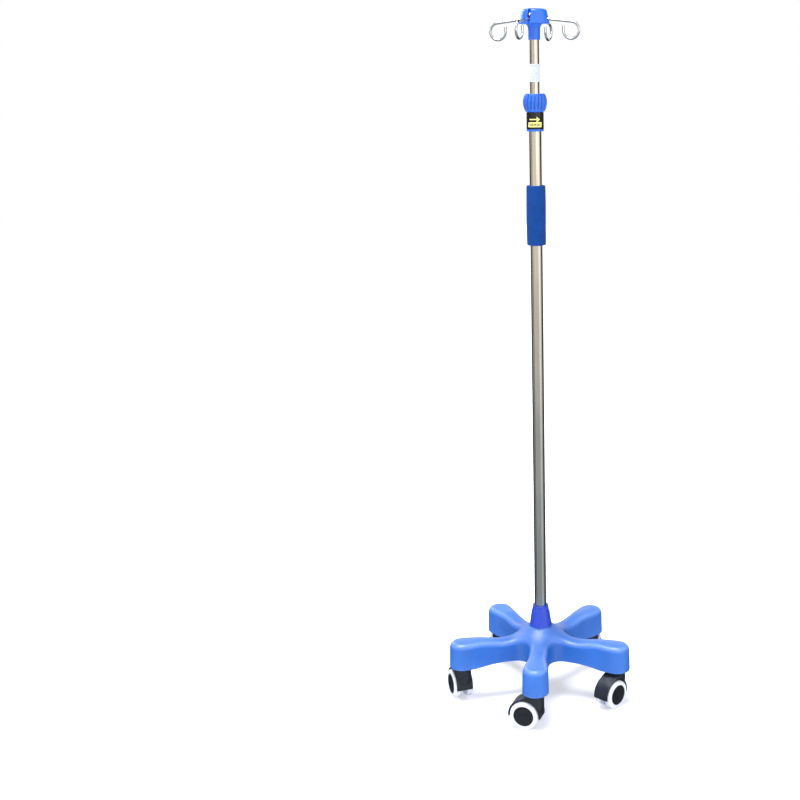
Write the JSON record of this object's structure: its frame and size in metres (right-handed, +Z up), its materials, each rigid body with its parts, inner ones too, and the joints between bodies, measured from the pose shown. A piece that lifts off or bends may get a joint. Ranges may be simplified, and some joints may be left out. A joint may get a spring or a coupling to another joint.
{
  "type": "iv pole",
  "caption": "Height-adjustable drip stand: telescopic steel pole with folding bag hooks, twist lock and foam grip, on a moulded star base with twin-wheel swivel casters.",
  "frame": {"origin": "on the floor under the pole's axis", "axes": "+Z up along the pole, -Y along the front leg"},
  "size_m": [0.3911, 0.3922, 1.4203],
  "materials": {
    "base_blue": "moulded, satin gloss",
    "cone_blue": "moulded, satin gloss",
    "head_blue": "moulded, satin gloss",
    "grip_foam": "matt closed-cell foam sleeve",
    "stainless": "bright drawn stainless tube",
    "hook_steel": "polished stainless wire",
    "zinc_steel": "zinc-plated steel",
    "hood_black": "fine moulded grain",
    "wheel_black": "moulded",
    "tyre_grey": "light grey soft tread",
    "bush_white": "natural acetal",
    "sticker_black": "printed film",
    "sticker_white": "printed film"
  },
  "bodies": {
    "stand": {"base_shell": "base_blue", "hub_cone": "cone_blue", "lower_tube": "stainless", "tube_plug": "bush_white", "base_bolt": "zinc_steel", "base_washer": "zinc_steel", "foam_grip": "grip_foam", "lock_collar": "head_blue", "lock_label": "sticker_black", "collet": "bush_white", "caster_front_stem": "zinc_steel", "caster_right_stem": "zinc_steel", "caster_rear_right_stem": "zinc_steel", "caster_rear_left_stem": "zinc_steel", "caster_left_stem": "zinc_steel"},
    "mast_slider": {"mast_bush": "bush_white"},
    "mast": {"upper_tube": "stainless", "tube_label": "sticker_white", "head_body": "head_blue", "hook_pin_1": "zinc_steel", "hook_pin_2": "zinc_steel", "hook_pin_3": "zinc_steel", "hook_pin_4": "zinc_steel"},
    "hook_1": {"hook_1": "hook_steel"},
    "hook_2": {"hook_2": "hook_steel"},
    "hook_3": {"hook_3": "hook_steel"},
    "hook_4": {"hook_4": "hook_steel"},
    "lock_knob": {"lock_knob": "head_blue"},
    "caster_front": {"caster_front_hood": "hood_black", "caster_front_axle": "zinc_steel"},
    "caster_front_wheel_a": {"caster_front_core_a": "wheel_black", "caster_front_tyre_a": "tyre_grey"},
    "caster_front_wheel_b": {"caster_front_core_b": "wheel_black", "caster_front_tyre_b": "tyre_grey"},
    "caster_right": {"caster_right_hood": "hood_black", "caster_right_axle": "zinc_steel"},
    "caster_right_wheel_a": {"caster_right_core_a": "wheel_black", "caster_right_tyre_a": "tyre_grey"},
    "caster_right_wheel_b": {"caster_right_core_b": "wheel_black", "caster_right_tyre_b": "tyre_grey"},
    "caster_rear_right": {"caster_rear_right_hood": "hood_black", "caster_rear_right_axle": "zinc_steel"},
    "caster_rear_right_wheel_a": {"caster_rear_right_core_a": "wheel_black", "caster_rear_right_tyre_a": "tyre_grey"},
    "caster_rear_right_wheel_b": {"caster_rear_right_core_b": "wheel_black", "caster_rear_right_tyre_b": "tyre_grey"},
    "caster_rear_left": {"caster_rear_left_hood": "hood_black", "caster_rear_left_axle": "zinc_steel"},
    "caster_rear_left_wheel_a": {"caster_rear_left_core_a": "wheel_black", "caster_rear_left_tyre_a": "tyre_grey"},
    "caster_rear_left_wheel_b": {"caster_rear_left_core_b": "wheel_black", "caster_rear_left_tyre_b": "tyre_grey"},
    "caster_left": {"caster_left_hood": "hood_black", "caster_left_axle": "zinc_steel"},
    "caster_left_wheel_a": {"caster_left_core_a": "wheel_black", "caster_left_tyre_a": "tyre_grey"},
    "caster_left_wheel_b": {"caster_left_core_b": "wheel_black", "caster_left_tyre_b": "tyre_grey"}
  },
  "joints": [
    {"name": "mast_slide", "type": "slide", "parent": "stand", "child": "mast_slider", "axis": [0, 0, 1], "range_m": [-0.095, 0.75]},
    {"name": "mast_turn", "type": "hinge", "parent": "mast_slider", "child": "mast", "pos_m": [0, 0, 0.3388], "axis": [0, 0, 1], "continuous": true},
    {"name": "lock_knob_turn", "type": "hinge", "parent": "stand", "child": "lock_knob", "pos_m": [0, 0, 1.2238], "axis": [0, 0, 1], "range_deg": [0, 360]},
    {"name": "hook_1_fold", "type": "hinge", "parent": "mast", "child": "hook_1", "pos_m": [0.01715, -0.00547, 1.40531], "axis": [-0.304, -0.9527, 0], "range_deg": [0, 96]},
    {"name": "hook_2_fold", "type": "hinge", "parent": "mast", "child": "hook_2", "pos_m": [0.00547, 0.01715, 1.40531], "axis": [0.9527, -0.304, 0], "range_deg": [0, 96]},
    {"name": "hook_3_fold", "type": "hinge", "parent": "mast", "child": "hook_3", "pos_m": [-0.01715, 0.00547, 1.40531], "axis": [0.304, 0.9527, 0], "range_deg": [0, 96]},
    {"name": "hook_4_fold", "type": "hinge", "parent": "mast", "child": "hook_4", "pos_m": [-0.00547, -0.01715, 1.40531], "axis": [-0.9527, 0.304, 0], "range_deg": [0, 96]},
    {"name": "caster_front_swivel", "type": "hinge", "parent": "stand", "child": "caster_front", "pos_m": [0, -0.171, 0.073], "axis": [0, 0, 1], "continuous": true},
    {"name": "caster_front_roll_a", "type": "hinge", "parent": "caster_front", "child": "caster_front_wheel_a", "pos_m": [-0.01754, -0.15849, 0.03], "axis": [0.2368, 0.9715, 0], "continuous": true},
    {"name": "caster_front_roll_b", "type": "hinge", "parent": "caster_front", "child": "caster_front_wheel_b", "pos_m": [-0.02133, -0.17404, 0.03], "axis": [0.2368, 0.9715, 0], "continuous": true},
    {"name": "caster_right_swivel", "type": "hinge", "parent": "stand", "child": "caster_right", "pos_m": [0.16263, -0.05284, 0.073], "axis": [0, 0, 1], "continuous": true},
    {"name": "caster_right_roll_a", "type": "hinge", "parent": "caster_right", "child": "caster_right_wheel_a", "pos_m": [0.14388, -0.06345, 0.03], "axis": [-0.7804, 0.6252, 0], "continuous": true},
    {"name": "caster_right_roll_b", "type": "hinge", "parent": "caster_right", "child": "caster_right_wheel_b", "pos_m": [0.15637, -0.07345, 0.03], "axis": [-0.7804, 0.6252, 0], "continuous": true},
    {"name": "caster_rear_right_swivel", "type": "hinge", "parent": "stand", "child": "caster_rear_right", "pos_m": [0.10051, 0.13834, 0.073], "axis": [0, 0, 1], "continuous": true},
    {"name": "caster_rear_right_roll_a", "type": "hinge", "parent": "caster_rear_right", "child": "caster_rear_right_wheel_a", "pos_m": [0.11056, 0.1574, 0.03], "axis": [0.9945, -0.1045, 0], "continuous": true},
    {"name": "caster_rear_right_roll_b", "type": "hinge", "parent": "caster_rear_right", "child": "caster_rear_right_wheel_b", "pos_m": [0.09465, 0.15907, 0.03], "axis": [0.9945, -0.1045, 0], "continuous": true},
    {"name": "caster_rear_left_swivel", "type": "hinge", "parent": "stand", "child": "caster_rear_left", "pos_m": [-0.10051, 0.13834, 0.073], "axis": [0, 0, 1], "continuous": true},
    {"name": "caster_rear_left_roll_a", "type": "hinge", "parent": "caster_rear_left", "child": "caster_rear_left_wheel_a", "pos_m": [-0.09611, 0.15943, 0.03], "axis": [0.9848, 0.1736, 0], "continuous": true},
    {"name": "caster_rear_left_roll_b", "type": "hinge", "parent": "caster_rear_left", "child": "caster_rear_left_wheel_b", "pos_m": [-0.11186, 0.15665, 0.03], "axis": [0.9848, 0.1736, 0], "continuous": true},
    {"name": "caster_left_swivel", "type": "hinge", "parent": "stand", "child": "caster_left", "pos_m": [-0.16263, -0.05284, 0.073], "axis": [0, 0, 1], "continuous": true},
    {"name": "caster_left_roll_a", "type": "hinge", "parent": "caster_left", "child": "caster_left_wheel_a", "pos_m": [-0.16395, -0.03134, 0.03], "axis": [0.9041, 0.4274, 0], "continuous": true},
    {"name": "caster_left_roll_b", "type": "hinge", "parent": "caster_left", "child": "caster_left_wheel_b", "pos_m": [-0.17841, -0.03818, 0.03], "axis": [0.9041, 0.4274, 0], "continuous": true}
  ]
}
